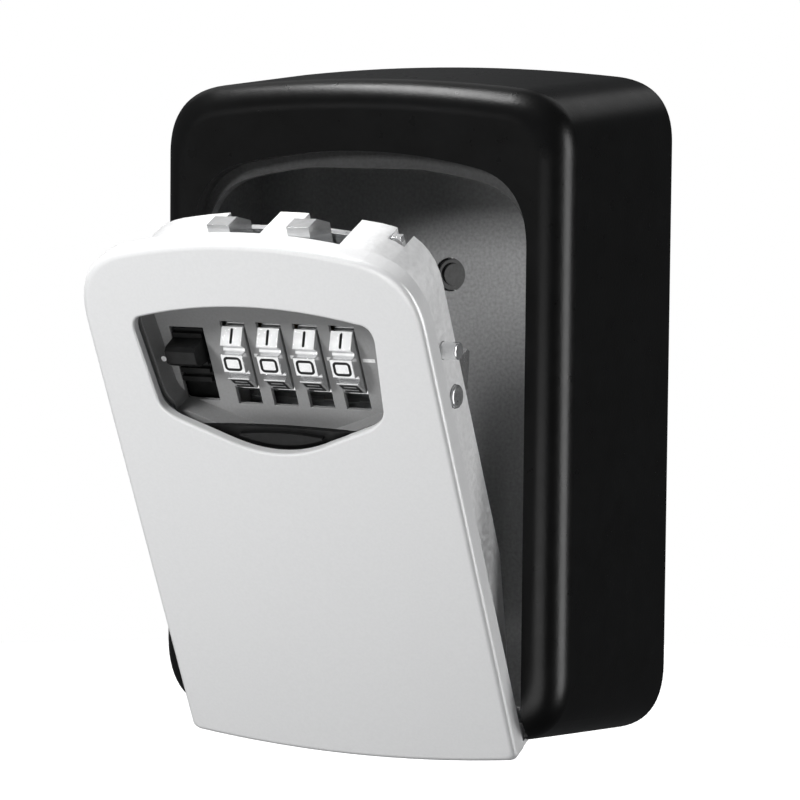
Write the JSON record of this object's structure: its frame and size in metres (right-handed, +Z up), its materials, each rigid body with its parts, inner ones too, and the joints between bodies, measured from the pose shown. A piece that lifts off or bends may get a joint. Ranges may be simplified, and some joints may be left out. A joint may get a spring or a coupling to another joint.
{
  "type": "key lock box",
  "caption": "Wall-mounted key lock box: arched cast housing, drop-down door with a combination lock, open lever, weather shutter, spring latch and hooks that catch behind a keeper lip.",
  "frame": {"origin": "centre of the housing's flat rear face, which lies on the wall", "axes": "+Y out of the rear face into the wall, so the door faces -Y; +X to the right seen from the front; +Z up"},
  "size_m": [0.085, 0.0842, 0.1216],
  "materials": {
    "housing_paint": "satin black powder coat over cast metal",
    "cover_paint": "smooth satin silver-white paint",
    "cast_zinc": "bead-blasted casting, light grey",
    "bezel_grey": "flat mid grey",
    "black_plastic": "moulded black, lightly textured",
    "chrome_plate": "bright plate",
    "bright_steel": "zinc-plated steel",
    "sleeve_brass": "turned brass"
  },
  "bodies": {
    "housing": {"housing": "housing_paint", "hinge_pin": "bright_steel", "hole_plug_1": "black_plastic", "hole_plug_2": "black_plastic", "hole_plug_3": "black_plastic", "hole_plug_4": "black_plastic"},
    "door": {"front_cover": "cover_paint", "door_frame": "cast_zinc", "rear_cover": "bright_steel", "rear_cover_screw_1": "bright_steel", "rear_cover_screw_2": "bright_steel", "rear_cover_screw_3": "bright_steel", "rear_cover_screw_4": "bright_steel", "dial_bezel": "bezel_grey", "dial_axle": "chrome_plate", "latch_spring_left": "bright_steel", "latch_spring_right": "bright_steel", "sleeve_spring": "bright_steel", "detent_spring": "bright_steel", "change_spindle": "bright_steel", "change_lever_rivet": "bright_steel"},
    "dial_1": {"dial_1": "chrome_plate", "dial_sleeve_1": "sleeve_brass"},
    "dial_2": {"dial_2": "chrome_plate", "dial_sleeve_2": "sleeve_brass"},
    "dial_3": {"dial_3": "chrome_plate", "dial_sleeve_3": "sleeve_brass"},
    "dial_4": {"dial_4": "chrome_plate", "dial_sleeve_4": "sleeve_brass"},
    "latch": {"latch_slide": "chrome_plate", "fence_bar": "bright_steel"},
    "open_lever": {"open_lever": "black_plastic"},
    "shutter": {"shutter": "black_plastic"},
    "change_lever": {"change_lever": "chrome_plate"}
  },
  "joints": [
    {"name": "door_hinge", "type": "hinge", "parent": "housing", "child": "door", "pos_m": [0, -0.033, -0.0526], "axis": [1, 0, 0], "range_deg": [-25.7, 69.3]},
    {"name": "dial_1_spin", "type": "hinge", "parent": "door", "child": "dial_1", "pos_m": [-0.0082, -0.06127, 0.01259], "axis": [1, 0, 0], "continuous": true},
    {"name": "dial_2_spin", "type": "hinge", "parent": "door", "child": "dial_2", "pos_m": [-0.00122, -0.06127, 0.01259], "axis": [1, 0, 0], "continuous": true},
    {"name": "dial_3_spin", "type": "hinge", "parent": "door", "child": "dial_3", "pos_m": [0.00576, -0.06127, 0.01259], "axis": [1, 0, 0], "continuous": true},
    {"name": "dial_4_spin", "type": "hinge", "parent": "door", "child": "dial_4", "pos_m": [0.01274, -0.06127, 0.01259], "axis": [1, 0, 0], "continuous": true},
    {"name": "latch_travel", "type": "slide", "parent": "door", "child": "latch", "axis": [0, -0.4337, 0.9011], "range_m": [-0.003, 0], "stiffness_N_per_m": 150, "springref_m": 0.004, "deforming": ["latch_spring_left", "latch_spring_right"]},
    {"name": "open_lever_travel", "type": "slide", "parent": "door", "child": "open_lever", "axis": [0, -0.4337, 0.9011], "range_m": [-0.003, 0]},
    {"name": "shutter_travel", "type": "slide", "parent": "door", "child": "shutter", "axis": [0, -0.4337, 0.9011], "range_m": [0, 0.024]},
    {"name": "change_lever_turn", "type": "hinge", "parent": "door", "child": "change_lever", "pos_m": [0.022, -0.05223, 0.00651], "axis": [0, 0.9011, 0.4337], "range_deg": [0, 40]}
  ],
  "couplings": [
    {"joint": "open_lever_travel", "follows": "latch_travel", "ratio": 1}
  ]
}
